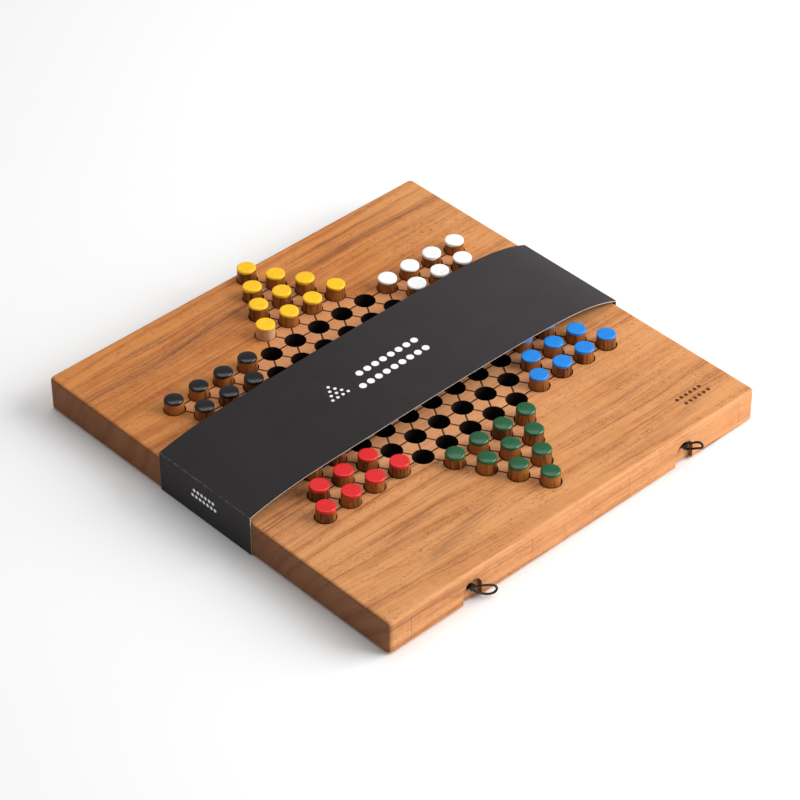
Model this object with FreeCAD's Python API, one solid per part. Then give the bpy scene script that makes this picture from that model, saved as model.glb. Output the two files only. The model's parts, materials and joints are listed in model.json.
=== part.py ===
import FreeCAD, Part
import math
import os

# Chinese checkers board: a thick square of solid wood with 121 blind holes in a six-pointed
# star, sixty turned pegs in six colours, two storage drawers in the underside with knotted
# cord pulls, and a printed card sleeve that slides round the middle of the board.
# Millimetres. +Z is up, X runs along the drawer side, and -Y faces out of the drawer side.
# The origin is on the surface that the sleeve stands on, below the middle of the board.

Vector = FreeCAD.Vector

# Board
BOARD_SIDE = 290.0
BOARD_THICKNESS = 22.0
CORNER_RADIUS = 3.0
TOP_EDGE_RADIUS = 2.2
BOTTOM_EDGE_RADIUS = 1.0

# Card sleeve
CARD = 0.5
SLEEVE_GAP = 0.1
SLEEVE_FRONT_Y = -33.5
SLEEVE_BACK_Y = 44.0
# Heights of the sleeve's outside above the board's top, from the left wall to the right wall.
SLEEVE_ARCH = [
    (-145.6, 4.5),
    (-120.0, 9.0),
    (-75.0, 11.4),
    (0.0, 13.0),
    (45.0, 13.3),
    (95.0, 12.0),
    (120.0, 9.3),
    (145.6, 1.6),
]

# Star of holes
HOLE_PITCH = 18.6
STAR_CENTRE_X = 0.7
STAR_CENTRE_Y = 7.3
HOLE_RADIUS = 6.6
HOLE_DEPTH = 11.5
STAR_ARM_ROWS = 4
STAR_WAIST_HOLES = 9
COVERED_ROWS = 2

# Pegs
PEG_BASE_RADIUS = 6.15
PEG_TOP_RADIUS = 5.7
PEG_END_LENGTH = 20.4
PEG_SIDE_LENGTH = 19.4
PEG_END_UNEVEN = 0.5
PEG_SIDE_UNEVEN = 0.2
PEG_WANDER = 0.1
PEG_LEAN_DEGREES = 2.4
PEG_FOOT_CHAMFER = 0.5
FLAT_TOP_ROUND = 0.4
DOME_RIM_HEIGHT = 0.8
DOME_RIM_WIDTH = 0.7
DOME_CAP_HEIGHT = 0.5
DOMED_COLOURS = ("black", "green")

# Drawers, one in each corner of the drawer side
DRAWER_SPREAD = 84.5
DRAWER_SHIFT = 1.5
FRONT_WIDTH = 92.0
FRONT_HEIGHT = 17.0
FRONT_THICKNESS = 8.0
FRONT_GAP = 0.15
POCKET_WIDTH = 86.0
POCKET_LENGTH = 77.2
POCKET_HEIGHT = 17.2
TRAY_GAP = 0.2
TRAY_LIFT = 0.4
TRAY_LENGTH = 69.0
TRAY_WALL = 4.0
TRAY_FLOOR = 3.0
RAIL_BOTTOM = 4.0
RAIL_HEIGHT = 3.2
RAIL_DEPTH = 3.0

# Finger notch in each drawer front
NOTCH_WIDTH = 14.0
NOTCH_HEIGHT = 15.5
NOTCH_DEPTH = 3.0

# Cord pulls
CORD_DIAMETER = 1.4
CORD_HOLE_RADIUS = 2.15
ARC_SHARE = 0.45
OUTER_KNOT_SIZE = (4.6, 3.1, 5.0)
OUTER_KNOT_OFFSET = (0.5, 1.35, 0.0)
INNER_KNOT_SIZE = (4.8, 4.8, 5.2)
INNER_KNOT_OFFSET = (0.0, 10.5, 0.0)
CORD_HOLE = {
    "left": (-83.0, 8.8),
    "right": (86.8, 11.0),
}
# Routes from the stop knot behind the drawer front, out through its hole, round the loop and
# back. Each point is measured from the place where the hole's axis meets the board's side.
CORD_ROUTE = {
    "left": [
        (0.0, 10.0, 0.8),
        (-0.15, 6.7, 1.0),
        (0.0, 3.3, 0.8),
        (2.2, 0.8, -0.4),
        (5.0, -0.8, -0.2),
        (8.2, -2.4, -0.6),
        (11.0, -3.7, -1.4),
        (13.1, -4.6, -2.8),
        (13.9, -5.0, -4.9),
        (13.0, -4.8, -6.8),
        (10.8, -4.0, -7.5),
        (7.8, -2.6, -7.0),
        (4.8, -0.8, -5.4),
        (2.0, 0.7, -3.0),
        (0.0, 3.2, -0.9),
        (0.15, 6.6, -0.8),
        (0.0, 9.9, -1.0),
    ],
    "right": [
        (0.0, 10.0, 0.8),
        (-0.15, 6.7, 1.0),
        (0.0, 3.3, 0.8),
        (0.5, 0.6, 2.4),
        (1.1, -2.3, 3.7),
        (1.8, -5.2, 5.9),
        (2.3, -7.4, 7.3),
        (2.8, -9.6, 7.0),
        (3.0, -10.4, 5.2),
        (2.8, -9.2, 3.5),
        (2.3, -7.1, 2.4),
        (2.0, -4.6, 0.9),
        (1.5, -1.9, -1.1),
        (0.7, 0.8, -1.9),
        (0.0, 3.3, -1.0),
        (0.15, 6.6, -0.8),
        (0.0, 9.9, -1.0),
    ],
}

HALF_SIDE = BOARD_SIDE / 2
ROW_STEP = HOLE_PITCH * math.sqrt(3) / 2
UNDERSIDE_Z = CARD + SLEEVE_GAP
BOARD_TOP_Z = UNDERSIDE_Z + BOARD_THICKNESS
HOLE_FLOOR_Z = BOARD_TOP_Z - HOLE_DEPTH
DRAWER_X = {"left": DRAWER_SHIFT - DRAWER_SPREAD, "right": DRAWER_SHIFT + DRAWER_SPREAD}


def block(low, high):
    """A box between two opposite corners."""
    low = Vector(*low)
    high = Vector(*high)
    size = high - low
    return Part.makeBox(size.x, size.y, size.z, low)


def edges_where(shape, test):
    """The edges whose every vertex passes the test."""
    return [edge for edge in shape.Edges if all(test(vertex.Point) for vertex in edge.Vertexes)]


def upright(edge):
    """True for an edge that runs along Z."""
    first, last = edge.Vertexes[0].Point, edge.Vertexes[-1].Point
    return abs(first.z - last.z) > BOARD_THICKNESS / 2


def board_blank():
    """The square board with its corners and edges rounded, before anything is cut in it."""
    blank = block((-HALF_SIDE, -HALF_SIDE, UNDERSIDE_Z), (HALF_SIDE, HALF_SIDE, BOARD_TOP_Z))
    blank = blank.makeFillet(CORNER_RADIUS, [edge for edge in blank.Edges if upright(edge)])
    top = edges_where(blank, lambda point: point.z > BOARD_TOP_Z - 0.01)
    blank = blank.makeFillet(TOP_EDGE_RADIUS, top)
    bottom = edges_where(blank, lambda point: point.z < UNDERSIDE_Z + 0.01)
    return blank.makeFillet(BOTTOM_EDGE_RADIUS, bottom)


def row_columns(row):
    """The columns of one row of the star, counted in pitches from its centre line."""
    rows_out = abs(row)
    if rows_out > STAR_ARM_ROWS:
        count = STAR_WAIST_HOLES - rows_out
    else:
        count = STAR_WAIST_HOLES + rows_out
    return [number - (count - 1) / 2 for number in range(count)]


def star_places():
    """Every hole of the star as (row, column), from the far tip to the near tip."""
    tip = 2 * STAR_ARM_ROWS
    return [(row, column) for row in range(tip, -tip - 1, -1) for column in row_columns(row)]


def hole_centre(row, column):
    """Where the centre of a hole is, as (x, y)."""
    return STAR_CENTRE_X + column * HOLE_PITCH, STAR_CENTRE_Y + row * ROW_STEP


def peg_colour(row, column):
    """The colour of the peg that stands in a hole, or None for an empty hole."""
    if row > STAR_ARM_ROWS:
        return "yellow"
    if row < -STAR_ARM_ROWS:
        return "green"
    first_side_column = row_columns(row)[-1] - abs(row) + 1
    if row == 0 or abs(column) < first_side_column:
        return None
    if row > 0:
        return "black" if column < 0 else "white"
    return "red" if column < 0 else "blue"


def star_holes():
    """The 121 blind holes, as one group of cylinders to cut from the board."""
    holes = []
    for row, column in star_places():
        x, y = hole_centre(row, column)
        depth = HOLE_DEPTH + 1
        holes.append(Part.makeCylinder(HOLE_RADIUS, depth, Vector(x, y, HOLE_FLOOR_Z)))
    return Part.makeCompound(holes)


def drawer_pocket(side):
    """The space cut from the board for one drawer: its front, its tray and its two rails."""
    x = DRAWER_X[side]
    front_y = -HALF_SIDE - 1
    back_y = -HALF_SIDE + POCKET_LENGTH
    low_z = UNDERSIDE_Z - 1
    front = block(
        (x - FRONT_WIDTH / 2, front_y, low_z),
        (x + FRONT_WIDTH / 2, -HALF_SIDE + FRONT_THICKNESS, UNDERSIDE_Z + POCKET_HEIGHT),
    )
    tray = block(
        (x - POCKET_WIDTH / 2, front_y, low_z),
        (x + POCKET_WIDTH / 2, back_y, UNDERSIDE_Z + POCKET_HEIGHT),
    )
    rail_half = POCKET_WIDTH / 2 + RAIL_DEPTH
    rail_z = UNDERSIDE_Z + RAIL_BOTTOM
    rails = block((x - rail_half, front_y, rail_z), (x + rail_half, back_y, rail_z + RAIL_HEIGHT))
    return front.fuse([tray, rails])


def board():
    """The board with its holes and the two drawer pockets."""
    pockets = [drawer_pocket(side) for side in DRAWER_X]
    return board_blank().cut([star_holes()] + pockets)


def finger_notch(side):
    """The arched recess in a drawer front, open at the underside."""
    x = DRAWER_X[side]
    radius = NOTCH_WIDTH / 2
    spring_z = UNDERSIDE_Z + NOTCH_HEIGHT - radius
    front_y = -HALF_SIDE - 1
    depth = NOTCH_DEPTH + 1
    straight = block((x - radius, front_y, UNDERSIDE_Z - 1), (x + radius, front_y + depth, spring_z))
    arch = Part.makeCylinder(radius, depth, Vector(x, front_y, spring_z), Vector(0, 1, 0))
    return straight.fuse(arch)


def drawer(side):
    """One drawer, hollowed from a block: front, tray and the tongues that run in the rails."""
    x = DRAWER_X[side]
    joint_y = -HALF_SIDE + FRONT_THICKNESS - FRONT_GAP
    front_half = FRONT_WIDTH / 2 - FRONT_GAP
    front_box = block(
        (x - front_half, -HALF_SIDE - 1, UNDERSIDE_Z - 1),
        (x + front_half, joint_y, UNDERSIDE_Z + FRONT_HEIGHT),
    )
    front = board_blank().common(front_box)
    tray_half = POCKET_WIDTH / 2 - TRAY_GAP
    tray_low = UNDERSIDE_Z + TRAY_LIFT
    tray_high = UNDERSIDE_Z + FRONT_HEIGHT - TRAY_GAP
    tray = block(
        (x - tray_half, joint_y - 1, tray_low),
        (x + tray_half, joint_y + TRAY_LENGTH, tray_high),
    )
    tongue_half = POCKET_WIDTH / 2 + RAIL_DEPTH - TRAY_GAP
    tongue_low = UNDERSIDE_Z + RAIL_BOTTOM + TRAY_GAP
    tongue_high = UNDERSIDE_Z + RAIL_BOTTOM + RAIL_HEIGHT - TRAY_GAP
    tongues = block(
        (x - tongue_half, joint_y - 1, tongue_low),
        (x + tongue_half, joint_y + TRAY_LENGTH, tongue_high),
    )
    hollow_half = tray_half - TRAY_WALL
    hollow = block(
        (x - hollow_half, joint_y, tray_low + TRAY_FLOOR),
        (x + hollow_half, joint_y + TRAY_LENGTH - TRAY_WALL, tray_high + 1),
    )
    hole_x, hole_height = CORD_HOLE[side]
    mouth = Vector(hole_x, -HALF_SIDE - 1, UNDERSIDE_Z + hole_height)
    cord_hole = Part.makeCylinder(CORD_HOLE_RADIUS, FRONT_THICKNESS + 2, mouth, Vector(0, 1, 0))
    return front.fuse([tray, tongues]).cut([hollow, finger_notch(side), cord_hole]).removeSplitter()


def uneven(first, second):
    """A repeatable number between -1 and 1, for things that are cut and set by hand."""
    return math.sin(1.7 * first + 2.3 * second)


def quarter_round(outer, width, height):
    """The convex quarter arc that leads from a peg's side at outer, inwards and up."""
    inner = outer + Vector(-width, 0, height)
    bulge = math.sqrt(0.5)
    middle = Vector(outer.x - width * (1 - bulge), 0, outer.z + height * bulge)
    return Part.Arc(outer, middle, inner).toShape(), inner


def flat_top(length):
    """The edges of a flat peg top with a rounded rim, from the peg's side to its axis."""
    shoulder = Vector(PEG_TOP_RADIUS, 0, length - FLAT_TOP_ROUND)
    rim, inner = quarter_round(shoulder, FLAT_TOP_ROUND, FLAT_TOP_ROUND)
    return shoulder, [rim, Part.makeLine(inner, Vector(0, 0, length))]


def domed_top(length):
    """The edges of a domed peg top: a rounded rim below a shallow ball-shaped cap."""
    shoulder = Vector(PEG_TOP_RADIUS, 0, length - DOME_RIM_HEIGHT - DOME_CAP_HEIGHT)
    rim, inner = quarter_round(shoulder, DOME_RIM_WIDTH, DOME_RIM_HEIGHT)
    ball_radius = (inner.x**2 + DOME_CAP_HEIGHT**2) / (2 * DOME_CAP_HEIGHT)
    half_way = inner.x / 2
    drop = ball_radius - math.sqrt(ball_radius**2 - half_way**2)
    cap = Part.Arc(inner, Vector(half_way, 0, length - drop), Vector(0, 0, length)).toShape()
    return shoulder, [rim, cap]


def peg(row, column):
    """One turned peg, slightly tapered, flat or domed on top, that leans a little in its hole."""
    x, y = hole_centre(row, column)
    if abs(row) > STAR_ARM_ROWS:
        length = PEG_END_LENGTH + PEG_END_UNEVEN * uneven(x, y)
    else:
        length = PEG_SIDE_LENGTH + PEG_SIDE_UNEVEN * uneven(x, y)
    make_top = domed_top if peg_colour(row, column) in DOMED_COLOURS else flat_top
    shoulder, top = make_top(length)
    foot = Vector(PEG_BASE_RADIUS, 0, PEG_FOOT_CHAMFER)
    heel = Vector(PEG_BASE_RADIUS - PEG_FOOT_CHAMFER, 0, 0)
    below = Part.makePolygon([Vector(0, 0, length), Vector(0, 0, 0), heel, foot, shoulder])
    profile = Part.Face(Part.Wire(below.Edges + top))
    body = profile.revolve(Vector(0, 0, 0), Vector(0, 0, 1), 360)
    lean = PEG_LEAN_DEGREES * abs(uneven(y, x))
    direction = math.pi * uneven(-x, y)
    lean_axis = Vector(math.cos(direction), math.sin(direction), 0)
    body.rotate(Vector(0, 0, HOLE_DEPTH / 2), lean_axis, lean)
    wander = Vector(PEG_WANDER * uneven(x, -y), PEG_WANDER * uneven(-y, x), 0)
    lift = (PEG_BASE_RADIUS - PEG_FOOT_CHAMFER) * math.sin(math.radians(lean))
    body.translate(Vector(x, y, HOLE_FLOOR_Z + lift) + wander)
    return body


def sleeve_outline(inset):
    """The closed outline of the sleeve across the board, moved inwards by inset."""
    wall_x = -SLEEVE_ARCH[0][0]
    squeeze = (wall_x - inset) / wall_x
    arch = [Vector(x * squeeze, SLEEVE_FRONT_Y, BOARD_TOP_Z + z - inset) for x, z in SLEEVE_ARCH]
    curve = Part.BSplineCurve()
    curve.interpolate(arch)
    low_left = Vector(arch[0].x, SLEEVE_FRONT_Y, inset)
    low_right = Vector(arch[-1].x, SLEEVE_FRONT_Y, inset)
    walls = Part.makePolygon([arch[-1], low_right, low_left, arch[0]])
    return Part.Wire([curve.toShape()] + walls.Edges)


def sleeve():
    """The card band, folded at its four corners and arched over the pegs."""
    band = Part.Face(sleeve_outline(0)).cut(Part.Face(sleeve_outline(CARD)))
    return band.extrude(Vector(0, SLEEVE_BACK_Y - SLEEVE_FRONT_Y, 0)).Solids[0]


def cord_point(side, offset):
    """A point measured from where the cord hole's axis meets the board's side."""
    hole_x, hole_height = CORD_HOLE[side]
    return Vector(hole_x, -HALF_SIDE, UNDERSIDE_Z + hole_height) + Vector(*offset)


def rounded_path(points):
    """Straight runs joined by tangent arcs, each as large as its two runs allow."""
    edges = []
    radii = []
    start = points[0]
    for before, corner, after in zip(points, points[1:], points[2:]):
        incoming = corner - before
        outgoing = after - corner
        half_turn = incoming.getAngle(outgoing) / 2
        setback = ARC_SHARE * min(incoming.Length, outgoing.Length)
        radii.append(setback / math.tan(half_turn))
        arc_start = corner - incoming.normalize() * setback
        arc_end = corner + outgoing.normalize() * setback
        inward = (arc_start - corner) + (arc_end - corner)
        to_middle = inward.normalize() * (radii[-1] * (1 / math.cos(half_turn) - 1))
        edges.append(Part.makeLine(start, arc_start))
        edges.append(Part.Arc(arc_start, corner + to_middle, arc_end).toShape())
        start = arc_end
    edges.append(Part.makeLine(start, points[-1]))
    return Part.Wire(edges), radii


def pull_cord(side):
    """The cord of one pull: a single length that goes out, round its loop and back in."""
    points = [cord_point(side, offset) for offset in CORD_ROUTE[side]]
    path, radii = rounded_path(points)
    section = Part.Wire(Part.makeCircle(CORD_DIAMETER / 2, points[0], points[1] - points[0]))
    tube = path.makePipeShell([section], True, False)
    expected = math.pi * CORD_DIAMETER**2 / 4 * path.Length
    print("pull_cord_" + side, "length", round(path.Length, 2), "radii", [round(r, 2) for r in radii])
    print("volume over section times length", round(tube.Volume / expected, 4))
    return tube


def knot(centre, size):
    """A tight knot as a plain rounded lump of the given size."""
    ball = Part.makeSphere(0.5)
    stretch = FreeCAD.Matrix()
    stretch.scale(*size)
    lump = ball.transformGeometry(stretch)
    lump.translate(centre)
    return lump


def pull_knots(side):
    """The knot in the finger notch and the stop knot behind the drawer front."""
    outer = knot(cord_point(side, OUTER_KNOT_OFFSET), OUTER_KNOT_SIZE)
    inner = knot(cord_point(side, INNER_KNOT_OFFSET), INNER_KNOT_SIZE)
    return Part.makeCompound([outer, inner])


def peg_nodes():
    """Each peg that shows as a node of its own, and those under the sleeve by colour."""
    nodes = {}
    covered = {}
    numbers = {}
    for row, column in star_places():
        colour = peg_colour(row, column)
        if colour is None:
            continue
        if abs(row) <= COVERED_ROWS:
            covered.setdefault(colour, []).append(peg(row, column))
            continue
        numbers[colour] = numbers.get(colour, 0) + 1
        nodes["peg_%s_%02d" % (colour, numbers[colour])] = peg(row, column)
    for colour, solids in covered.items():
        nodes["pegs_%s_under_sleeve" % colour] = Part.makeCompound(solids)
    return nodes


def main():
    nodes = {"board": board(), "sleeve": sleeve()}
    for side in DRAWER_X:
        nodes["drawer_" + side] = drawer(side)
        nodes["pull_cord_" + side] = pull_cord(side)
        nodes["pull_knots_" + side] = pull_knots(side)
    nodes.update(peg_nodes())
    os.makedirs("parts", exist_ok=True)
    for name, shape in nodes.items():
        shape.exportStep(os.path.join("parts", name + ".step"))
        print(name, "valid", shape.isValid(), "solids", len(shape.Solids), "volume", round(shape.Volume))


main()
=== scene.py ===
import json
import math

import bpy
from mathutils import Matrix, Vector
from mathutils.bvhtree import BVHTree


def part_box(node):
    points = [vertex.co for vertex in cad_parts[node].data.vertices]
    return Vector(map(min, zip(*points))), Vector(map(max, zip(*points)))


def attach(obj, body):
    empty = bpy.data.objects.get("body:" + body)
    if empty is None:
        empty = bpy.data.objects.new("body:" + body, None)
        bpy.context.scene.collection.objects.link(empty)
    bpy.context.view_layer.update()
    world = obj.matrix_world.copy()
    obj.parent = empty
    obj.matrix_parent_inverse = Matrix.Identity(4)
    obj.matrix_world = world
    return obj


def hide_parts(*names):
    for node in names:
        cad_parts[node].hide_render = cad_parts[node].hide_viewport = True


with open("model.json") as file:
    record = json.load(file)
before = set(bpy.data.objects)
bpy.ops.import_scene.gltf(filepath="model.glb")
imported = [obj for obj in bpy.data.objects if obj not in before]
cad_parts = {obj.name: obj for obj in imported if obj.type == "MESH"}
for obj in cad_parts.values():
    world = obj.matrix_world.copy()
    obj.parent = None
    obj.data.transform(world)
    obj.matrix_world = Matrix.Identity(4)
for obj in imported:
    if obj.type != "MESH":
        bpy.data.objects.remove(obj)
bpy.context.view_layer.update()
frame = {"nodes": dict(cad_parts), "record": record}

# A solid-wood chinese checkers board with painted pegs, cord drawer pulls and a card sleeve.
# Blender's geometry is in metres. Named sizes, and the places that the patterns follow, are in
# millimetres in the same frame.

NODES = frame["nodes"]
BODIES = frame["record"]["behaviour"]["bodies"]
MM = 0.001


def box_in_mm(node):
    """The lowest and highest corners of a CAD node."""
    return [[round(value / MM, 2) for value in corner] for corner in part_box(node)]


# Sizes and places of the CAD part that the patterns and the cords follow
BOARD_LOW, BOARD_HIGH = box_in_mm("board")
HALF_SIDE = BOARD_HIGH[0]
UNDERSIDE_Z = BOARD_LOW[2]
BOARD_TOP_Z = BOARD_HIGH[2]
SLEEVE_WALL_X = box_in_mm("sleeve")[1][0]
HOLE_RADIUS = 6.6
HOLE_DEPTH = 11.5
HOLE_FLOOR_Z = BOARD_TOP_Z - HOLE_DEPTH
HOLE_PITCH = 18.6
ROW_STEP = HOLE_PITCH * math.sqrt(3) / 2
STAR_CENTRE = (0.7, 7.3)
STAR_ARM_ROWS = 4.0
PEG_TOP_RADIUS = 5.7
PEG_BASE_RADIUS = 6.15
CORD_DIAMETER = 1.4
POCKET_SPANS_X = [(-129.0, -37.0), (40.0, 132.0)]
POCKET_BACK_Y = -67.8
POCKET_TOP_Z = 17.8


# ---------------------------------------------------------------- colour and node helpers

def linear(red, green, blue):
    """A colour given as 0 to 255 values on screen, as the linear values that shaders use."""
    def one(value):
        value /= 255
        return value / 12.92 if value <= 0.04045 else ((value + 0.055) / 1.055) ** 2.4
    return (one(red), one(green), one(blue), 1.0)


class Graph:
    """A material's node tree, built by small calls that each return an output socket."""

    def __init__(self, name):
        self.material = bpy.data.materials.new(name)
        self.material.use_nodes = True
        self.tree = self.material.node_tree
        self.tree.nodes.clear()
        output = self.tree.nodes.new("ShaderNodeOutputMaterial")
        self.shader = self.tree.nodes.new("ShaderNodeBsdfPrincipled")
        self.tree.links.new(self.shader.outputs[0], output.inputs["Surface"])

    def put(self, socket, value):
        """Feeds an input socket from another socket, or sets it to a plain value."""
        if isinstance(value, bpy.types.NodeSocket):
            self.tree.links.new(value, socket)
        else:
            socket.default_value = value

    def node(self, kind, inputs, out=0, **settings):
        """A new node with the given inputs and settings. It returns one of its outputs."""
        made = self.tree.nodes.new(kind)
        for key, value in settings.items():
            setattr(made, key, value)
        for key, value in inputs.items():
            self.put(made.inputs[key], value)
        return made.outputs[out]

    def math(self, operation, *values):
        """One Math node."""
        return self.node("ShaderNodeMath", dict(enumerate(values)), operation=operation)

    def chain(self, operation, values):
        """One operation carried through all the values, from the first to the last."""
        total = values[0]
        for value in values[1:]:
            total = self.math(operation, total, value)
        return total

    def add(self, *values):
        return self.chain("ADD", values)

    def times(self, *values):
        return self.chain("MULTIPLY", values)

    def least(self, *values):
        return self.chain("MINIMUM", values)

    def most(self, *values):
        return self.chain("MAXIMUM", values)

    def minus(self, first, second):
        return self.math("SUBTRACT", first, second)

    def absolute(self, value):
        return self.math("ABSOLUTE", value)

    def distance(self, across, along):
        """How far (across, along) is from (0, 0)."""
        squares = self.add(self.times(across, across), self.times(along, along))
        return self.math("SQRT", squares)

    def step(self, value, low, high):
        """0 below low, 1 above high, smooth between. Low may be the higher of the two."""
        return self.node(
            "ShaderNodeMapRange",
            {"Value": value, "From Min": low, "From Max": high, "To Min": 0.0, "To Max": 1.0},
            interpolation_type="SMOOTHSTEP",
        )

    def scale(self, value, low, high, to_low, to_high):
        """The value's range from low to high, stretched to run from to_low to to_high."""
        return self.node(
            "ShaderNodeMapRange",
            {"Value": value, "From Min": low, "From Max": high, "To Min": to_low, "To Max": to_high},
        )

    def noise(self, place, scales, detail, roughness=0.5, distortion=0.0):
        """Noise about 0.5. Along each axis its features are about 1 / scale millimetres long."""
        scaled = [self.times(value, scale) for value, scale in zip(place, scales)]
        vector = self.node("ShaderNodeCombineXYZ", dict(enumerate(scaled)))
        return self.node(
            "ShaderNodeTexNoise",
            {
                "Vector": vector,
                "Scale": 1.0,
                "Detail": detail,
                "Roughness": roughness,
                "Distortion": distortion,
            },
        )

    def swing(self, noise, amount):
        """A noise moved to swing about 0, and made amount times as strong."""
        return self.times(self.add(noise, -0.5), amount)

    def mix(self, amount, first, second):
        """The first colour where amount is 0, and the second where it is 1."""
        made = self.tree.nodes.new("ShaderNodeMix")
        made.data_type = "RGBA"
        self.put(made.inputs["Factor"], amount)
        colours = [socket for socket in made.inputs if socket.type == "RGBA"]
        self.put(colours[0], first)
        self.put(colours[1], second)
        return [socket for socket in made.outputs if socket.type == "RGBA"][0]

    def coordinates(self, output):
        """One output of a Texture Coordinate node, split into x, y and z."""
        split = self.tree.nodes.new("ShaderNodeSeparateXYZ")
        self.put(split.inputs[0], self.node("ShaderNodeTexCoord", {}, out=output))
        return split.outputs

    def place(self):
        """The place on the piece in millimetres, as (x, y, z). It moves with the piece."""
        return [self.times(value, 1 / MM) for value in self.coordinates("Object")]

    def facing(self):
        """The direction in which the surface faces, as (x, y, z). It turns with the piece."""
        return self.coordinates("Normal")

    def bump(self, height, distance, strength):
        """A relief up to distance millimetres high."""
        return self.node(
            "ShaderNodeBump",
            {"Height": height, "Distance": distance * MM, "Strength": strength},
        )

    def finish(self, colour, roughness, normal=None, **others):
        """Feeds the shader and returns the material."""
        self.put(self.shader.inputs["Base Color"], colour)
        self.put(self.shader.inputs["Roughness"], roughness)
        if normal is not None:
            self.put(self.shader.inputs["Normal"], normal)
        for key, value in others.items():
            self.put(self.shader.inputs[key.replace("_", " ")], value)
        return self.material


# ---------------------------------------------------------------- wood

WOOD_LIGHT = linear(212, 150, 97)
WOOD_PALE = linear(226, 156, 92)
WOOD_MIDDLE = linear(190, 124, 74)
WOOD_DARK = linear(146, 86, 50)
WOOD_PURPLE = linear(106, 60, 44)
WOOD_PORE = linear(80, 42, 25)
GOLD = linear(208, 131, 62)
GOLD_DARK = linear(180, 104, 46)
PLATE = linear(214, 152, 108)
BURNED = linear(38, 15, 8)
# Near black for the painted shade in the holes
HOLE_SHADE_BLACK = linear(11, 5, 4)
# Dark end grain, darkened further as painted shade on the sides that face along X
END_GRAIN_AND_SHADE = linear(98, 55, 24)

# Where the heart of the tree lies, as seen at the slab's middle
HEART_Y = -235.0
HEART_Z = -110.0

# Dark streaks of this slab: centre, half length and half width, slope, strength
STREAKS = [
    ((-72.0, 113.0), (105.0, 7.0), 0.01, 0.95),
    ((-60.0, 126.0), (110.0, 4.0), 0.0, 0.6),
    ((66.0, 118.0), (100.0, 5.5), -0.01, 0.9),
    ((84.0, 130.0), (80.0, 3.5), 0.01, 0.8),
    ((112.0, 104.0), (60.0, 4.0), 0.02, 0.6),
    ((-66.0, -118.0), (42.0, 7.0), 0.22, 0.8),
    ((-82.0, -98.0), (52.0, 5.0), 0.20, 0.55),
    ((-32.0, -82.0), (56.0, 4.5), 0.12, 0.6),
    ((56.0, -97.0), (90.0, 4.0), 0.03, 0.5),
    ((70.0, -132.0), (70.0, 4.0), 0.05, 0.45),
    ((-90.0, -62.0), (70.0, 3.5), 0.02, 0.4),
]

# A short dark line low on the front side: centre and half size, as (x, z)
LOW_DARK_LINE_CENTRE = (108.0, 1.0)
LOW_DARK_LINE_SIZE = (16.0, 1.6)

# Two staggered rows of small burned dots, round this centre
BURNED_MARK = (114.5, -124.0)
BURNED_DOT_RADIUS = 1.1
BURNED_DOT_PITCH = 3.7
BURNED_ROW_PITCH = 5.6
BURNED_DOTS_IN_ROW = 6

LINE_HALF_WIDTH = 0.40


def streak(graph, x, y, centre, size, slope=0.0):
    """A soft lens-shaped patch along the grain: 1 at its centre and 0 outside it."""
    along = graph.add(x, -centre[0])
    across = graph.minus(graph.add(y, -centre[1]), graph.times(along, slope))
    lengthwise = graph.math("POWER", graph.absolute(graph.times(along, 1 / size[0])), 2.0)
    crosswise = graph.math("POWER", graph.absolute(graph.times(across, 1 / size[1])), 2.0)
    return graph.step(graph.add(lengthwise, crosswise), 1.0, 0.0)


def wood_grain(graph, x, y, z):
    """The grain of one slab, cut lengthwise along X: its bent y, tone, fibre and fine bands."""
    drift = graph.swing(graph.noise((x, y, z), (0.0035, 0.018, 0.018), 2.0), 22.0)
    wave = graph.swing(graph.noise((x, y, z), (0.02, 0.05, 0.05), 2.0), 3.2)
    y_bent = graph.add(y, drift, wave)

    # Growth rings round the heart, which lies below the slab and in front of it
    ring_y = graph.add(y_bent, -HEART_Y, graph.times(x, -0.04))
    ring_z = graph.add(z, -HEART_Z, graph.times(x, 0.05))
    ring = graph.distance(ring_y, ring_z)
    bands = graph.noise((ring, x, 3.7), (0.19, 0.0016, 1.0), 4.0, 0.62)
    fine_bands = graph.noise((ring, x, 9.1), (0.85, 0.006, 1.0), 3.0, 0.6)

    fibre = graph.noise((x, y_bent, z), (0.05, 1.7, 1.7), 4.0, 0.6)
    cloud = graph.noise((x, y, z), (0.018, 0.035, 0.035), 3.0, 0.55)
    ripple = graph.noise((x, y, z), (0.16, 0.10, 0.10), 2.0, 0.5, 0.6)
    tone = graph.add(
        graph.swing(bands, 2.2),
        graph.swing(fine_bands, 1.4),
        graph.swing(fibre, 1.0),
        graph.swing(cloud, 0.8),
        graph.swing(ripple, 0.4),
        0.56,
    )
    return y_bent, tone, fibre, fine_bands


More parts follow.
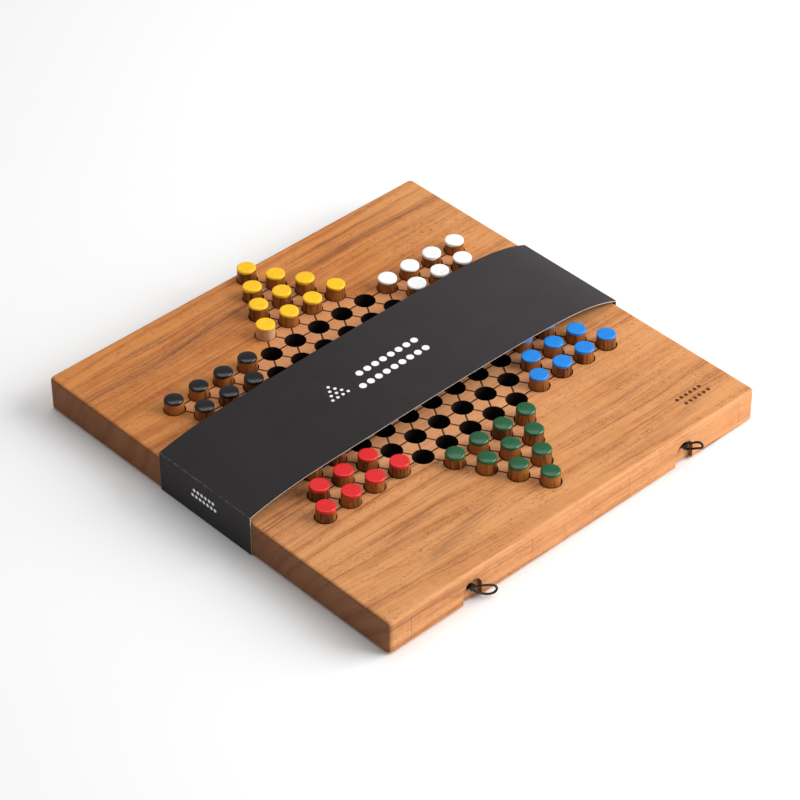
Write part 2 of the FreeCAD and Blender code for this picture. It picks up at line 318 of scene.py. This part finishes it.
def wood_figure(graph, x, y, z):
    """One oiled slab: its colour, its tone, its open pores and its fibre."""
    y_bent, tone, fibre, fine_bands = wood_grain(graph, x, y, z)
    colour = graph.mix(graph.step(tone, 0.30, 0.98), WOOD_MIDDLE, WOOD_LIGHT)
    colour = graph.mix(graph.step(tone, 0.44, 0.10), colour, WOOD_DARK)

    # Golden towards the back left, and pale in front and on the right
    golden = graph.times(graph.step(y, 5.0, 60.0), graph.step(x, 170.0, 60.0))
    golden_wood = graph.mix(graph.step(tone, 0.2, 0.9), GOLD_DARK, GOLD)
    colour = graph.mix(graph.times(golden, 0.8), colour, golden_wood)
    pale = graph.most(graph.step(y, -30.0, -80.0), graph.step(x, 60.0, 120.0))
    colour = graph.mix(graph.times(pale, 0.3), colour, WOOD_PALE)

    # Purplish streaks, broken up by the finer grain
    marks = graph.most(
        *[
            graph.times(streak(graph, x, y_bent, centre, size, slope), strength)
            for centre, size, slope, strength in STREAKS
        ]
    )
    broken = graph.step(graph.add(fibre, graph.times(fine_bands, 0.8)), 0.62, 1.05)
    marks = graph.times(marks, graph.scale(broken, 0.0, 1.0, 1.0, 0.25))
    colour = graph.mix(graph.times(marks, 0.8), colour, WOOD_PURPLE)

    # Open pores: short dark dashes along the grain, in groups
    dash = graph.noise((x, y_bent, z), (0.33, 2.6, 2.6), 2.0, 0.6)
    crowd = graph.noise((x, y_bent, z), (0.02, 0.16, 0.16), 2.0, 0.6)
    pores = graph.times(graph.step(dash, 0.57, 0.67), graph.step(crowd, 0.38, 0.56))
    colour = graph.mix(graph.times(pores, 0.66), colour, WOOD_PORE)
    return colour, tone, pores, fibre


def star_place(graph, x, y):
    """How far a point is inside the star, and how far from the nearest line of holes."""
    u = graph.times(graph.add(x, -STAR_CENTRE[0]), 1 / HOLE_PITCH)
    v = graph.times(graph.add(y, -STAR_CENTRE[1]), 1 / ROW_STEP)
    half_v = graph.times(v, 0.5)
    a = graph.add(u, half_v)
    b = graph.minus(u, half_v)
    up = graph.least(
        graph.add(v, STAR_ARM_ROWS), graph.minus(STAR_ARM_ROWS, a), graph.add(b, STAR_ARM_ROWS)
    )
    down = graph.least(
        graph.minus(STAR_ARM_ROWS, v), graph.minus(STAR_ARM_ROWS, b), graph.add(a, STAR_ARM_ROWS)
    )
    inside = graph.times(graph.most(up, down), ROW_STEP)
    lines = []
    for way in (v, a, b):
        off = graph.minus(way, graph.math("ROUND", way))
        lines.append(graph.times(graph.absolute(off), ROW_STEP))
    return inside, graph.least(*lines)


def burned_dots(graph, x, y):
    """1 on the dots of the burned mark, and 0 round them."""
    middle = BURNED_DOTS_IN_ROW / 2 - 0.25
    gaps = []
    for row in (0, 1):
        for k in range(BURNED_DOTS_IN_ROW):
            column = k - middle + 0.5 * row
            across = graph.add(x, -BURNED_MARK[0] - BURNED_DOT_PITCH * column)
            along = graph.add(y, -BURNED_MARK[1] + BURNED_ROW_PITCH * (row - 0.5))
            gaps.append(graph.distance(across, along))
    return graph.step(graph.least(*gaps), BURNED_DOT_RADIUS + 0.35, BURNED_DOT_RADIUS)


def near_pockets(graph, x, y, z):
    """1 in and just round the two drawer pockets, and 0 elsewhere."""
    spans = []
    for low, high in POCKET_SPANS_X:
        right_of_low = graph.step(x, low - 0.4, low - 0.2)
        left_of_high = graph.step(x, high + 0.4, high + 0.2)
        spans.append(graph.times(right_of_low, left_of_high))
    in_front = graph.step(y, POCKET_BACK_Y + 0.6, POCKET_BACK_Y + 0.3)
    below = graph.step(z, POCKET_TOP_Z + 0.6, POCKET_TOP_Z + 0.4)
    return graph.times(in_front, graph.most(*spans), below)


def shaded_holes(graph, x, y, z, inside):
    """Where the holes' painted shade goes: 1 on their walls and floors, and 0 on the rest of the board."""
    hollow = graph.times(
        graph.step(z, BOARD_TOP_Z - 0.1, BOARD_TOP_Z - 0.3),
        graph.step(z, HOLE_FLOOR_Z - 0.3, HOLE_FLOOR_Z - 0.2),
        graph.step(inside, -HOLE_RADIUS - 0.6, -HOLE_RADIUS - 0.4),
        graph.step(graph.absolute(y), HALF_SIDE - 1.2, HALF_SIDE - 1.4),
    )
    return graph.times(hollow, graph.minus(1.0, near_pockets(graph, x, y, z)))


def board_wood():
    """Oiled hardwood with painted shade in its holes, lines between the holes and a small burned mark."""
    graph = Graph("board_wood")
    x, y, z = graph.place()
    face_x = graph.facing()[0]
    colour, tone, pores, fibre = wood_figure(graph, x, y, z)

    # End grain drinks more oil, so it is darker; its colour is also darkened further as painted shade on
    # the sides that face along X
    end_grain = graph.step(graph.absolute(face_x), 0.55, 0.8)
    colour = graph.mix(graph.times(end_grain, 0.78), colour, END_GRAIN_AND_SHADE)

    # The star is a little paler than the wood round it
    inside, line = star_place(graph, x, y)
    on_top = graph.step(z, BOARD_TOP_Z - 0.35, BOARD_TOP_Z - 0.1)
    plates = graph.times(graph.step(inside, -0.6, 0.8), on_top)
    colour = graph.mix(graph.times(plates, 0.55), colour, PLATE)

    waver = graph.noise((x, y, 0.0), (0.6, 0.6, 1.0), 2.0)
    half_width = graph.add(LINE_HALF_WIDTH, graph.times(waver, 0.22))
    drawn = graph.minus(line, half_width)
    lines = graph.times(graph.step(drawn, 0.18, -0.12), graph.step(inside, -0.9, -0.4), on_top)
    colour = graph.mix(graph.times(lines, 0.93), colour, BURNED)

    mark = graph.times(burned_dots(graph, x, y), on_top)
    colour = graph.mix(graph.times(mark, 0.85), colour, BURNED)

    # A short dark line low on the front side
    front_side = graph.step(y, 1.0 - HALF_SIDE, 0.4 - HALF_SIDE)
    low_dark_line = graph.times(streak(graph, x, z, LOW_DARK_LINE_CENTRE, LOW_DARK_LINE_SIZE), front_side)
    colour = graph.mix(graph.times(low_dark_line, 0.85), colour, WOOD_PORE)

    # Painted shade: the walls and floors of the holes are made near black
    hollow = shaded_holes(graph, x, y, z, inside)
    hole_shade_colour = graph.mix(graph.step(tone, 0.4, 0.9), HOLE_SHADE_BLACK, BURNED)
    colour = graph.mix(hollow, colour, hole_shade_colour)

    grooves = graph.times(graph.most(lines, mark), -2.2)
    relief = graph.add(graph.times(fibre, 0.10), graph.times(pores, -0.5), grooves)
    normal = graph.bump(relief, 0.16, 0.75)
    # Rougher on the burned lines and mark, and in the holes
    burned = graph.most(hollow, lines, mark)
    oiled = graph.scale(tone, 0.1, 1.0, 0.60, 0.50)
    rough = graph.add(oiled, graph.times(burned, 0.35), graph.times(end_grain, 0.1))
    return graph.finish(colour, rough, normal, Specular_IOR_Level=0.32)


# ---------------------------------------------------------------- pegs

PEG_WOOD = linear(170, 104, 46)
PEG_WOOD_DARK = linear(84, 44, 16)
PEG_PALE = linear(222, 178, 128)
PEG_PALE_DARK = linear(190, 140, 92)
PALE_PEG_NODE = "peg_yellow_07"

# Colour and roughness of each enamel
PAINTS = {
    "yellow": (linear(255, 198, 3), 0.42),
    "green": (linear(14, 86, 48), 0.28),
    "black": (linear(8, 7, 8), 0.2),
    "white": (linear(250, 250, 248), 0.42),
    "red": (linear(220, 10, 16), 0.38),
    "blue": (linear(2, 132, 224), 0.4),
}

# Pegs of these colours have domed ends
DOMED = ("black", "green")

PAINT_THICKNESS = 0.11
PAINT_SEGMENTS = 44

# Height of the enamel's hidden underside over the peg's end
PAINT_INSIDE = -1.0

# Waves in the enamel's lower edge: how many go round a peg, their height, and the seed's factor
DRIPS = [(2, 0.22, 1.0), (3, 0.15, 1.9), (7, 0.10, 2.3)]

# What the seed of the waves grows by from one peg of a node to the next, and from node to node
PEG_SEED_STEP = 2.7
NODE_SEED_STEP = 1.37

# The z of its normal tells a face of a peg's base, which leans a little
BASE_NORMAL_Z = -0.97

# A peg's points are all nearer than this to the centre of its base, as seen from above
PEG_REACH = 9.0


def peg_wood(name, light, dark, offset):
    """Turned hardwood: streaks along the peg and faint turning marks round it."""
    graph = Graph(name)
    x, y, z = graph.place()
    shift = graph.noise((x, y, offset), (0.11, 0.11, 1.0), 1.0)
    streaks = graph.noise((x, y, z), (0.75, 0.75, 0.07), 4.0, 0.62)
    pores = graph.noise((x, y, z), (2.4, 2.4, 0.35), 2.0, 0.6)
    tone = graph.add(streaks, graph.swing(shift, 0.7))
    colour = graph.mix(graph.step(tone, 0.30, 0.66), dark, light)
    colour = graph.mix(graph.times(graph.step(pores, 0.6, 0.7), 0.5), colour, dark)
    turned = graph.math("SINE", graph.times(z, 9.0))
    normal = graph.bump(graph.add(graph.times(turned, 0.25), streaks), 0.05, 0.5)
    return graph.finish(colour, 0.5, normal, Specular_IOR_Level=0.35)


def paint(colour_name):
    """Thick brushed enamel with a slightly uneven surface and small colour changes."""
    colour, roughness = PAINTS[colour_name]
    graph = Graph("peg_paint_" + colour_name)
    x, y, z = graph.place()
    lumps = graph.noise((x, y, z), (0.35, 0.35, 0.35), 3.0)
    specks = graph.noise((x, y, z), (3.0, 3.0, 3.0), 2.0)
    deep = tuple(channel * 0.9 for channel in colour[:3]) + (1.0,)
    shade = graph.mix(graph.step(lumps, 0.3, 0.62), deep, colour)
    shade = graph.mix(graph.times(graph.step(specks, 0.66, 0.74), 0.2), shade, deep)
    normal = graph.bump(graph.add(lumps, graph.times(specks, 0.08)), 0.05, 0.3)
    rough = graph.scale(specks, 0.3, 0.7, roughness - 0.03, roughness + 0.07)
    return graph.finish(shade, rough, normal, Coat_Weight=0.25, Coat_Roughness=0.2)


def new_mesh(name, points, faces, material, smooth=True):
    """A new mesh object in the scene, with one material."""
    mesh = bpy.data.meshes.new(name)
    mesh.from_pydata([tuple(point) for point in points], [], faces)
    mesh.validate()
    mesh.update()
    for polygon in mesh.polygons:
        polygon.use_smooth = smooth
    mesh.materials.append(material)
    piece = bpy.data.objects.new(name, mesh)
    bpy.context.scene.collection.objects.link(piece)
    return piece


def base_groups(mesh):
    """The faces of each peg's flat base in a CAD mesh: faces that share a corner go together."""
    groups = []
    for polygon in mesh.polygons:
        if polygon.normal.z > BASE_NORMAL_Z:
            continue
        corners = {tuple(round(value, 6) for value in mesh.vertices[k].co) for k in polygon.vertices}
        merged = {"corners": corners, "polygons": [polygon]}
        for group in [group for group in groups if group["corners"] & corners]:
            merged["corners"] |= group["corners"]
            merged["polygons"] += group["polygons"]
            groups.remove(group)
        groups.append(merged)
    return [group["polygons"] for group in groups]


def peg_axes(node):
    """The base centre, axis and length of each peg in a CAD node, read from its flat base."""
    mesh = NODES[node].data
    found = []
    for polygons in base_groups(mesh):
        area = sum(polygon.area for polygon in polygons)
        centre = sum((polygon.center * polygon.area for polygon in polygons), Vector()) / area
        axis = -sum((polygon.normal * polygon.area for polygon in polygons), Vector()).normalized()
        near = [v.co for v in mesh.vertices if (v.co.xy - centre.xy).length < PEG_REACH * MM]
        length = max((point - centre).dot(axis) for point in near)
        found.append((centre / MM, axis, length / MM))
    return sorted(found, key=lambda peg: (round(peg[0].x, 3), round(peg[0].y, 3)))


def cap_profile(domed):
    """The outside of a painted end, from its side inwards, as (radius, height over the end)."""
    side = PEG_TOP_RADIUS + PAINT_THICKNESS
    if domed:
        return [
            (side, -1.34), (side - 0.05, -1.06), (side - 0.2, -0.82), (side - 0.42, -0.62),
            (side - 0.72, -0.47), (4.3, -0.22), (3.4, -0.07), (2.4, 0.03), (1.2, 0.09),
        ]
    return [
        (side, -0.42), (side - 0.06, -0.2), (side - 0.2, -0.04), (side - 0.42, 0.06),
        (4.9, 0.09), (4.0, 0.10), (2.8, 0.085), (1.4, 0.08),
    ]


def paint_section(angle, seed, depth, length, domed):
    """The enamel's section at one angle, from inside its lower edge round to its top."""
    drip = sum(height * math.sin(waves * angle + seed * factor) for waves, height, factor in DRIPS)
    edge = -(depth + drip)
    side = PEG_TOP_RADIUS + (PEG_BASE_RADIUS - PEG_TOP_RADIUS) * (-edge / length)
    lip = [
        (PEG_TOP_RADIUS - 1.2, PAINT_INSIDE),
        (side - 0.18, edge + 0.06),
        (side + 0.03, edge),
        (side + 0.13, edge + 0.09),
        (side + PAINT_THICKNESS, edge + 0.3),
    ]
    return lip + cap_profile(domed)


def painted_top(name, pegs, colour_name, material, first_seed):
    """The enamel on the ends of one node's pegs, each coat with its own uneven lower edge."""
    domed = colour_name in DOMED
    mean_depth = 2.0 if domed else 1.45
    top_height = 0.11 if domed else 0.078
    points = []
    faces = []
    for number, (base, axis, length) in enumerate(pegs):
        seed = first_seed + number * PEG_SEED_STEP
        depth = mean_depth + 0.25 * math.sin(seed * 3.1)
        side_way = axis.orthogonal().normalized()
        turned = Matrix((side_way, axis.cross(side_way), axis)).transposed()
        start = len(points)
        for k in range(PAINT_SEGMENTS):
            angle = 2 * math.pi * k / PAINT_SEGMENTS
            section = paint_section(angle, seed, depth, length, domed)
            for radius, height in section:
                local = Vector((radius * math.cos(angle), radius * math.sin(angle), length + height))
                points.append((base + turned @ local) * MM)
        count = len(section)
        inner = len(points)
        points.append((base + turned @ Vector((0, 0, length + PAINT_INSIDE))) * MM)
        outer = len(points)
        points.append((base + turned @ Vector((0, 0, length + top_height))) * MM)
        for k in range(PAINT_SEGMENTS):
            here = start + k * count
            there = start + (k + 1) % PAINT_SEGMENTS * count
            for j in range(count - 1):
                faces.append((here + j, there + j, there + j + 1, here + j + 1))
            faces.append((inner, there, here))
            faces.append((here + count - 1, there + count - 1, outer))
    piece = new_mesh(name, points, faces, material)
    return piece


# ---------------------------------------------------------------- card sleeve and its print

CARD_FACE = linear(36, 30, 32)
CARD_FACE_DARK = linear(29, 24, 26)
CARD_EDGE = linear(205, 196, 190)
CARD_EDGE_DARK = linear(168, 158, 152)
CARD_WEAR_AND_SHEEN = linear(104, 98, 100)
INK_LIGHT = linear(244, 242, 244)
INK_THIN = linear(196, 192, 196)

# About where the sleeve's sides fold over into its arched top
LEFT_FOLD_Z = 27.1
RIGHT_FOLD_Z = 24.1

# Half the thickness of the print, which is half sunk in the card
INK = 0.03

# A height over everything, to look down at the sleeve from
WELL_ABOVE = 200.0


def sleeve_card():
    """Uncoated black card: printed both sides, pale where it is cut, rubbed along its folds with a painted
    highlight there, and with a painted sheen towards the right.
    """
    graph = Graph("sleeve_card")
    x, y, z = graph.place()
    face_y = graph.facing()[1]
    mottle = graph.noise((x, y, z), (0.05, 0.05, 0.05), 4.0, 0.6)
    fibres = graph.noise((x, y, z), (1.6, 2.2, 1.8), 3.0, 0.65)
    colour = graph.mix(graph.step(mottle, 0.3, 0.7), CARD_FACE_DARK, CARD_FACE)
    colour = graph.mix(graph.times(graph.step(fibres, 0.62, 0.8), 0.12), colour, CARD_WEAR_AND_SHEEN)
    # Painted sheen: the card is made paler towards the right
    colour = graph.mix(graph.times(graph.step(x, -90.0, 130.0), 0.16), colour, CARD_WEAR_AND_SHEEN)

    # Rubbed wear along the folds, which is also a painted highlight on the rounded folds
    rub = graph.noise((y, x, z), (0.4, 0.3, 0.3), 3.0, 0.7)
    by_wall = graph.step(graph.absolute(x), SLEEVE_WALL_X - 0.75, SLEEVE_WALL_X - 0.1)
    left_fold = graph.times(graph.step(x, 0.0, -1.0), graph.step(z, LEFT_FOLD_Z - 0.9, LEFT_FOLD_Z - 0.2))
    right_fold = graph.times(graph.step(x, 0.0, 1.0), graph.step(z, RIGHT_FOLD_Z - 0.9, RIGHT_FOLD_Z - 0.2))
    low_fold = graph.step(z, 0.8, 0.1)
    fold = graph.times(by_wall, graph.most(left_fold, right_fold, low_fold))
    fold_wear_and_highlight = graph.times(fold, graph.step(rub, 0.36, 0.62))
    colour = graph.mix(graph.times(fold_wear_and_highlight, 0.55), colour, CARD_WEAR_AND_SHEEN)

    cut = graph.step(graph.absolute(face_y), 0.6, 0.8)
    core = graph.mix(graph.step(fibres, 0.35, 0.65), CARD_EDGE_DARK, CARD_EDGE)
    colour = graph.mix(cut, colour, core)
    normal = graph.bump(graph.add(graph.times(fibres, 0.5), graph.times(mottle, 1.2)), 0.05, 0.5)
    rough = graph.scale(mottle, 0.3, 0.7, 0.62, 0.66)
    return graph.finish(colour, rough, normal, Specular_IOR_Level=0.32)


def sleeve_print():
    """White ink on card, a little thin in places."""
    graph = Graph("sleeve_print")
    thin = graph.noise(graph.place(), (1.8, 1.8, 1.8), 3.0, 0.65)
    colour = graph.mix(graph.step(thin, 0.62, 0.8), INK_LIGHT, INK_THIN)
    normal = graph.bump(thin, 0.03, 0.4)
    return graph.finish(colour, 0.5, normal)


def sleeve_top():
    """A function that lays millimetres on top of the sleeve: u along X, v along Y."""
    mesh = NODES["sleeve"].data
    corners = [vertex.co for vertex in mesh.vertices]
    tree = BVHTree.FromPolygons(corners, [polygon.vertices for polygon in mesh.polygons])
    down = Vector((0, 0, -1))

    def place(u, v, lift):
        surface = tree.ray_cast(Vector((u * MM, v * MM, WELL_ABOVE * MM)), down)[0]
        return (u * MM, v * MM, surface.z + lift * MM)

    return place


def left_flap(u, v, lift):
    """Lays millimetres on the sleeve's left side: u along Y, v up."""
    return (-(SLEEVE_WALL_X + lift) * MM, u * MM, v * MM)


def disc_outline(centre, radius, count=28):
    """The outline of one round dot."""
    turns = [2 * math.pi * k / count for k in range(count)]
    return [(centre[0] + radius * math.cos(a), centre[1] + radius * math.sin(a)) for a in turns]


def dot_row(count, first, pitch, radius):
    """A row of equal dots that starts at first."""
    return [disc_outline((first[0] + pitch * k, first[1]), radius) for k in range(count)]


def print_piece(name, outlines, place, material):
    """Flat printed shapes as thin closed slabs, laid on a surface by place(u, v, lift)."""
    points = []
    faces = []
    for outline in outlines:
        count = len(outline)
        start = len(points)
        points += [place(u, v, -INK) for u, v in outline]
        points += [place(u, v, INK) for u, v in outline]
        faces.append(tuple(start + k for k in reversed(range(count))))
        faces.append(tuple(start + count + k for k in range(count)))
        for k in range(count):
            after = (k + 1) % count
            faces.append((start + k, start + after, start + count + after, start + count + k))
    piece = new_mesh(name, points, faces, material, smooth=False)
    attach(piece, "sleeve")
    return piece


# ---------------------------------------------------------------- cords and knots

# Each cord hole's x, and its height over the board's underside
CORD_HOLE = {"left": (-83.0, 8.8), "right": (86.8, 11.0)}

# Routes from the stop knot out through the hole, round the loop and back, from where the hole's
# axis meets the board's side
CORD_ROUTE = {
    "left": [
        (0.0, 10.0, 0.8),
        (-0.15, 6.7, 1.0),
        (0.0, 3.3, 0.8),
        (2.2, 0.8, -0.4),
        (5.0, -0.8, -0.2),
        (8.2, -2.4, -0.6),
        (11.0, -3.7, -1.4),
        (13.1, -4.6, -2.8),
        (13.9, -5.0, -4.9),
        (13.0, -4.8, -6.8),
        (10.8, -4.0, -7.5),
        (7.8, -2.6, -7.0),
        (4.8, -0.8, -5.4),
        (2.0, 0.7, -3.0),
        (0.0, 3.2, -0.9),
        (0.15, 6.6, -0.8),
        (0.0, 9.9, -1.0),
    ],
    "right": [
        (0.0, 10.0, 0.8),
        (-0.15, 6.7, 1.0),
        (0.0, 3.3, 0.8),
        (0.5, 0.6, 2.4),
        (1.1, -2.3, 3.7),
        (1.8, -5.2, 5.9),
        (2.3, -7.4, 7.3),
        (2.8, -9.6, 7.0),
        (3.0, -10.4, 5.2),
        (2.8, -9.2, 3.5),
        (2.3, -7.1, 2.4),
        (2.0, -4.6, 0.9),
        (1.5, -1.9, -1.1),
        (0.7, 0.8, -1.9),
        (0.0, 3.3, -1.0),
        (0.15, 6.6, -0.8),
        (0.0, 9.9, -1.0),
    ],
}

# Size and place of a pull's two knots: in its finger notch, and behind its drawer's front
KNOTS = [((4.6, 3.1, 5.0), (0.5, 1.35, 0.0)), ((4.8, 4.8, 5.2), (0.0, 10.5, 0.0))]
KNOT_CORD_RADIUS = CORD_DIAMETER / 2 * 1.06
KNOT_STEPS = 120
KNOT_SIDES = 10

# Half size of the trefoil that knot_line follows, before it is scaled
TREFOIL_HALF_WIDTH = 2.76
TREFOIL_HALF_HEIGHT = 3.0


def pull_cord_material():
    """Waxed black cord: fine twisted strands with a soft shine."""
    graph = Graph("pull_cord")
    x, y, z = graph.place()
    slant = graph.add(x, graph.times(y, 0.8), graph.times(z, 1.3))
    twist = graph.math("SINE", graph.times(slant, 10.5))
    fuzz = graph.noise((x, y, z), (4.0, 4.0, 4.0), 3.0, 0.7)
    colour = graph.mix(graph.step(fuzz, 0.35, 0.7), linear(6, 4, 4), linear(22, 17, 16))
    normal = graph.bump(graph.add(graph.times(twist, 0.35), fuzz), 0.14, 0.7)
    return graph.finish(colour, 0.46, normal, Specular_IOR_Level=0.35)


def cord_place(side, offset):
    """A point measured from where the cord hole's axis meets the board's side, in metres."""
    hole_x, hole_height = CORD_HOLE[side]
    start = Vector((hole_x, -HALF_SIDE, UNDERSIDE_Z + hole_height))
    return (start + Vector(offset)) * MM


def cord_curve(side, material):
    """The whole cord of one pull, as one smooth line through its drawer's route."""
    curve = bpy.data.curves.new("cord_" + side, "CURVE")
    curve.dimensions = "3D"
    spline = curve.splines.new("NURBS")
    route = [cord_place(side, offset) for offset in CORD_ROUTE[side]]
    spline.points.add(len(route) - 1)
    for point, place in zip(spline.points, route):
        point.co = (*place, 1.0)
    spline.order_u = 3
    spline.use_endpoint_u = True
    spline.resolution_u = 10
    curve.bevel_depth = CORD_DIAMETER / 2 * MM
    curve.bevel_resolution = 5
    curve.use_fill_caps = True
    curve.materials.append(material)
    piece = bpy.data.objects.new("cord_" + side, curve)
    bpy.context.scene.collection.objects.link(piece)
    return piece, route


def knot_line(t, centre, reach):
    """A point of a trefoil, the closed form of an overhand knot, as t runs from 0 to 2 pi."""
    across = (math.sin(t) + 2 * math.sin(2 * t)) / TREFOIL_HALF_WIDTH
    inwards = -math.sin(3 * t)
    up = (math.cos(t) - 2 * math.cos(2 * t)) / TREFOIL_HALF_HEIGHT
    return centre + Vector((reach[0] * across, reach[1] * inwards, reach[2] * up))


def knot_lumps(side, material):
    """The two tight knots of a pull: the cord wound through itself in a closed overhand turn."""
    nudge = 0.01
    into_board = Vector((0, 1, 0))
    points = []
    faces = []
    for size, offset in KNOTS:
        centre = cord_place(side, offset) / MM
        reach = [(extent - 2 * KNOT_CORD_RADIUS) / 2 for extent in size]
        start = len(points)
        for k in range(KNOT_STEPS):
            t = 2 * math.pi * k / KNOT_STEPS
            here = knot_line(t, centre, reach)
            ahead = knot_line(t + nudge, centre, reach) - knot_line(t - nudge, centre, reach)
            forward = ahead.normalized()
            across = (into_board - forward * into_board.dot(forward)).normalized()
            other = forward.cross(across)
            for j in range(KNOT_SIDES):
                angle = 2 * math.pi * j / KNOT_SIDES
                outwards = across * math.cos(angle) + other * math.sin(angle)
                points.append((here + outwards * KNOT_CORD_RADIUS) * MM)
        for k in range(KNOT_STEPS):
            ring = start + k * KNOT_SIDES
            next_ring = start + (k + 1) % KNOT_STEPS * KNOT_SIDES
            for j in range(KNOT_SIDES):
                beside = (j + 1) % KNOT_SIDES
                faces.append((ring + j, ring + beside, next_ring + beside, next_ring + j))
    piece = new_mesh("knots_" + side, points, faces, material)
    return piece


# ---------------------------------------------------------------- build

def clothe(node, material):
    """Gives a CAD node its finished material."""
    mesh = NODES[node].data
    mesh.materials.clear()
    mesh.materials.append(material)


wood = board_wood()
for node in ("board", "drawer_left", "drawer_right"):
    clothe(node, wood)
clothe("sleeve", sleeve_card())

brown_pegs = peg_wood("peg_wood", PEG_WOOD, PEG_WOOD_DARK, 1.3)
pale_peg = peg_wood("peg_wood_pale", PEG_PALE, PEG_PALE_DARK, 6.2)
paints = {colour_name: paint(colour_name) for colour_name in PAINTS}
body_of_node = {node: body for body, members in BODIES.items() for node in members}
peg_nodes = [node for node in sorted(NODES) if node.startswith("peg")]
for number, node in enumerate(peg_nodes):
    colour_name = node.split("_")[1]
    clothe(node, pale_peg if node == PALE_PEG_NODE else brown_pegs)
    seed = number * NODE_SEED_STEP
    cap = painted_top("paint_" + node, peg_axes(node), colour_name, paints[colour_name], seed)
    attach(cap, body_of_node[node])

ink = sleeve_print()
top_dots = dot_row(8, (-22.0, 11.4), 6.2, 2.3) + dot_row(9, (-28.2, 1.6), 6.2, 2.3)
for row in range(4):
    top_dots += dot_row(row + 1, (-43.5 - 2.0 * row, 14.5 - 3.5 * row), 4.0, 1.0)
print_piece("sleeve_dots", top_dots, sleeve_top(), ink)
flap_dots = dot_row(6, (14.2, 17.6), -3.2, 1.15) + dot_row(7, (15.8, 13.6), -3.2, 1.15)
print_piece("flap_dots", [list(reversed(outline)) for outline in flap_dots], left_flap, ink)

cord_black = pull_cord_material()
for side in CORD_ROUTE:
    cord, route = cord_curve(side, cord_black)
    knots = knot_lumps(side, cord_black)
    drawer = "drawer_" + side
    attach(cord, drawer)
    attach(knots, drawer)
    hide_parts("pull_cord_" + side)
    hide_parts("pull_knots_" + side)
    tuple(route[0])


# ---------------------------------------------------------------- floor, lights and camera

# In metres, apart from the lens, its sensor and the angles
FLOOR_HALF = 6.0
FLOOR_Z = -0.0004
CAMERA_PLACE = (-0.99116, -1.05638, 1.19232)
CAMERA_TURN_DEGREES = (50.76761, 0.17214, -43.29571)
LENS_MM = 144.367
SENSOR_MM = 36.0


def floor_material():
    """A plain pale floor."""
    graph = Graph("floor")
    tint = graph.noise(graph.place(), (0.002, 0.002, 1.0), 2.0)
    colour = graph.mix(tint, linear(247, 247, 247), linear(252, 252, 252))
    return graph.finish(colour, 0.85)


def softbox(name, place, size, power):
    """A square area light that points at the origin."""
    lamp = bpy.data.lights.new(name, "AREA")
    lamp.shape = "SQUARE"
    lamp.size = size
    lamp.energy = power
    holder = bpy.data.objects.new(name, lamp)
    holder.location = place
    holder.rotation_euler = (-Vector(place)).to_track_quat("-Z", "Y").to_euler()
    bpy.context.scene.collection.objects.link(holder)


floor_corners = [
    (x * FLOOR_HALF, y * FLOOR_HALF, FLOOR_Z) for x, y in ((-1, -1), (1, -1), (1, 1), (-1, 1))
]
floor = new_mesh("floor", floor_corners, [(0, 1, 2, 3)], floor_material(), smooth=False)

softbox("key", (1.15, -1.05, 0.9), 1.5, 44.0)
softbox("overhead", (0.25, 0.35, 1.9), 1.6, 13.0)

world = bpy.data.worlds.new("studio")
world.use_nodes = True
world.node_tree.nodes["Background"].inputs["Color"].default_value = (1.0, 1.0, 1.0, 1.0)
world.node_tree.nodes["Background"].inputs["Strength"].default_value = 0.31
bpy.context.scene.world = world
bpy.context.scene.view_settings.view_transform = "Standard"

lens = bpy.data.cameras.new("camera")
lens.lens = LENS_MM
lens.sensor_width = SENSOR_MM
lens.clip_start = 0.05
lens.clip_end = 40.0
camera = bpy.data.objects.new("camera", lens)
camera.location = CAMERA_PLACE
camera.rotation_euler = [math.radians(angle) for angle in CAMERA_TURN_DEGREES]
bpy.context.scene.collection.objects.link(camera)
bpy.context.scene.camera = camera
